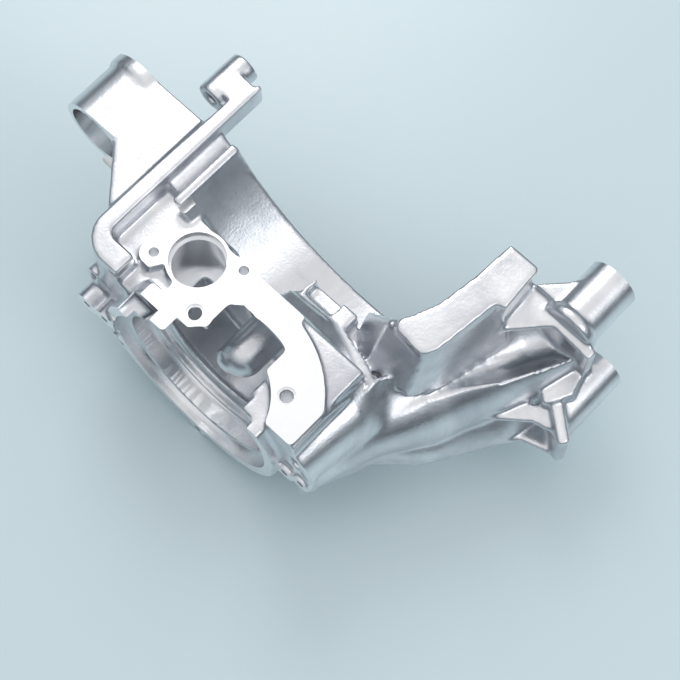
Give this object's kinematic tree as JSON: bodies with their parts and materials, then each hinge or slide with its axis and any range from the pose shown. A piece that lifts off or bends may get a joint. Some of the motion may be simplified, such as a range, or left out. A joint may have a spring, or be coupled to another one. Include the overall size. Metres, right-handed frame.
{
  "type": "die cast gear housing",
  "caption": "One-piece die cast aluminium gear housing with a stepped bearing bore, a milled motor face and two arms that end in bosses.",
  "frame": {"origin": "point where the axis of the bearing bore meets the plane in which the milled motor face begins", "axes": "+Y runs into the bearing bore, +Z points out of the milled motor face, +X runs towards the arm with the two end bosses"},
  "size_m": [0.3032, 0.186, 0.115],
  "materials": {
    "cast_aluminium": "as-cast skin with milled faces and turned bores"
  },
  "bodies": {
    "root": {"housing": "cast_aluminium"}
  },
  "joints": []
}
